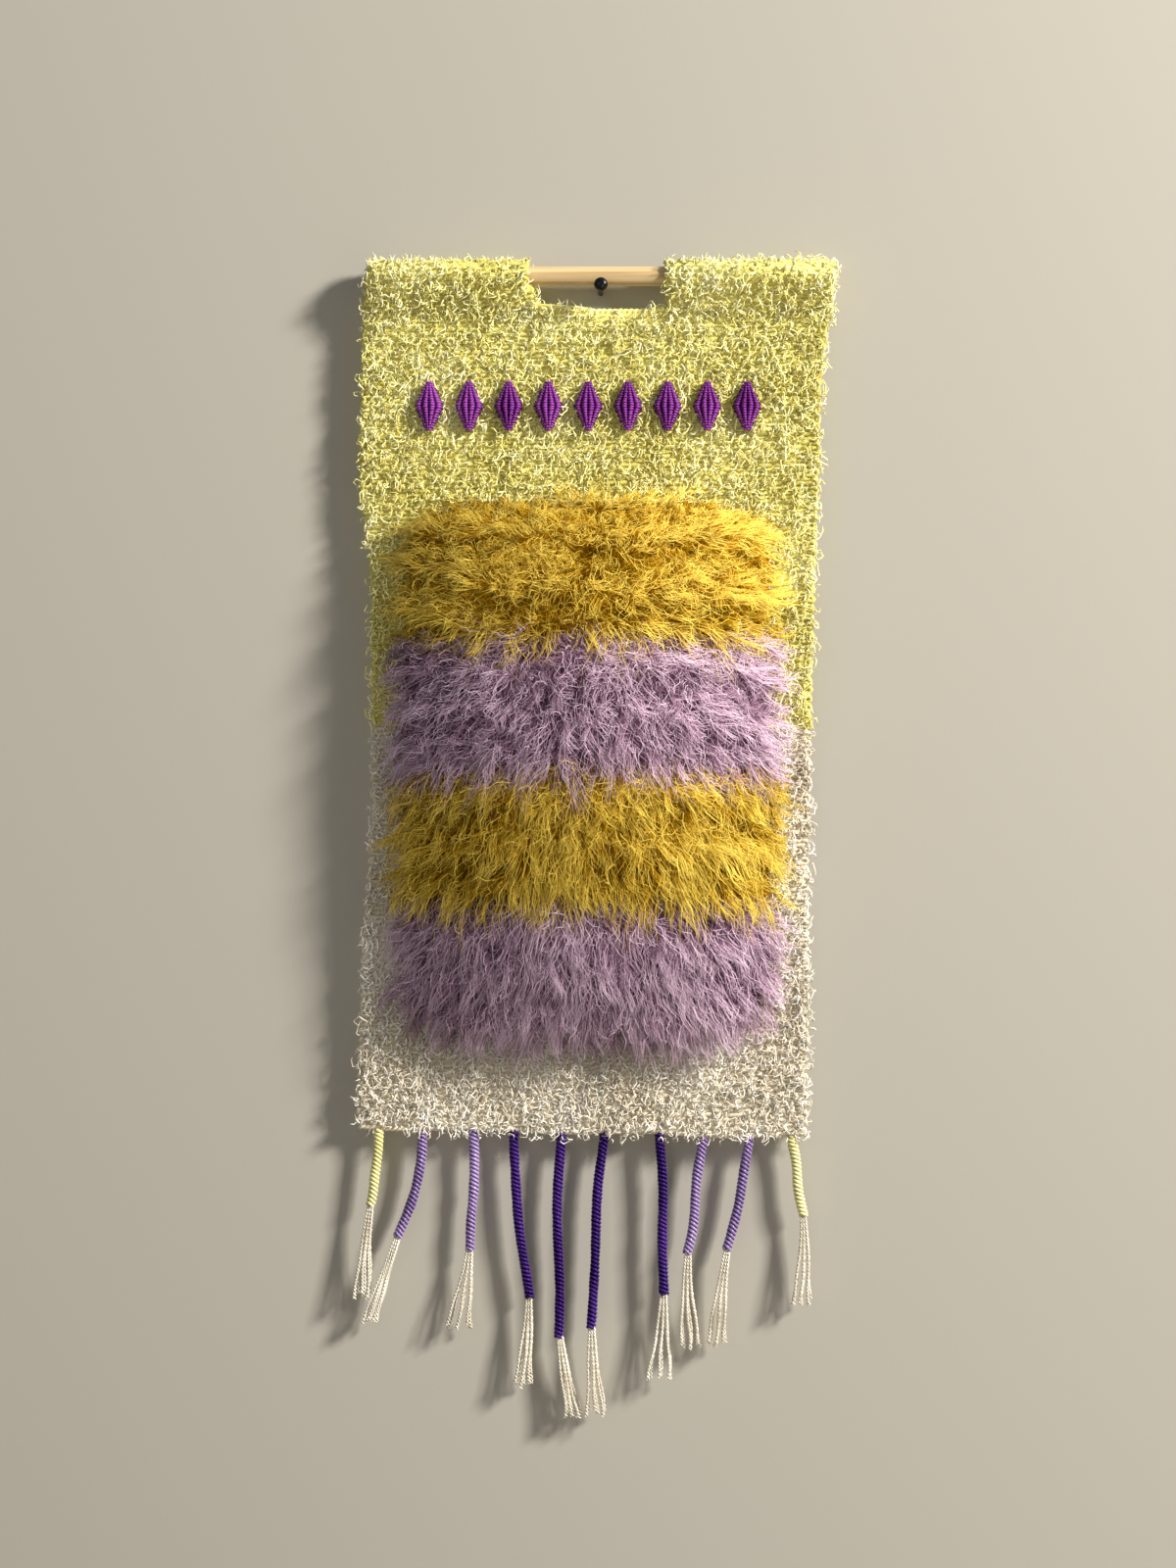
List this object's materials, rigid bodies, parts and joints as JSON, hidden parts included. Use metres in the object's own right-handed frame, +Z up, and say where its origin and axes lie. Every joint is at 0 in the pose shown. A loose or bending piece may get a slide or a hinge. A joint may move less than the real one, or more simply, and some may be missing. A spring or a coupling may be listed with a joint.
{
  "type": "textile wall hanging on a wooden dowel and nail",
  "caption": "Handwoven wall hanging with a banded shaggy pile panel, a row of small woven lozenges and a wrapped fringe, sleeved on a dowel that rests on a nail.",
  "frame": {"origin": "centre of the nail's cut end face, in the plane of the wall behind the hanging", "axes": "+Z up along the hanging, +Y into the wall, +X along the dowel to the right seen from the front"},
  "size_m": [0.2464, 0.0542, 0.5936],
  "materials": {
    "ground_yarn": "woolly boucle weave, pale butter yellow above and undyed cream below",
    "mustard_pile": "long brushed mohair pile, mustard",
    "lilac_pile": "long brushed mohair pile, greyed lilac",
    "purple_yarn": "satiny needle weaving, red-violet",
    "violet_wrapping": "close satiny yarn wrapping, deep blue-violet",
    "lilac_wrapping": "close satiny yarn wrapping, lilac",
    "butter_wrapping": "close satiny yarn wrapping, pale yellow",
    "cotton_warp": "matt unbleached cotton string",
    "pine": "bare sanded pine",
    "nail_steel": "blackened, soft sheen"
  },
  "bodies": {
    "root": {"ground_weave": "ground_yarn", "dowel": "pine", "nail": "nail_steel", "pile_band_1_mustard": "mustard_pile", "pile_band_2_lilac": "lilac_pile", "pile_band_3_mustard": "mustard_pile", "pile_band_4_lilac": "lilac_pile", "lozenge_1": "purple_yarn", "lozenge_2": "purple_yarn", "lozenge_3": "purple_yarn", "lozenge_4": "purple_yarn", "lozenge_5": "purple_yarn", "lozenge_6": "purple_yarn", "lozenge_7": "purple_yarn", "lozenge_8": "purple_yarn", "lozenge_9": "purple_yarn", "wrap_1": "butter_wrapping", "tassel_1": "cotton_warp", "wrap_2": "lilac_wrapping", "tassel_2": "cotton_warp", "wrap_3": "lilac_wrapping", "tassel_3": "cotton_warp", "wrap_4": "violet_wrapping", "tassel_4": "cotton_warp", "wrap_5": "violet_wrapping", "tassel_5": "cotton_warp", "wrap_6": "violet_wrapping", "tassel_6": "cotton_warp", "wrap_7": "violet_wrapping", "tassel_7": "cotton_warp", "wrap_8": "lilac_wrapping", "tassel_8": "cotton_warp", "wrap_9": "lilac_wrapping", "tassel_9": "cotton_warp", "wrap_10": "butter_wrapping", "tassel_10": "cotton_warp"}
  },
  "joints": []
}
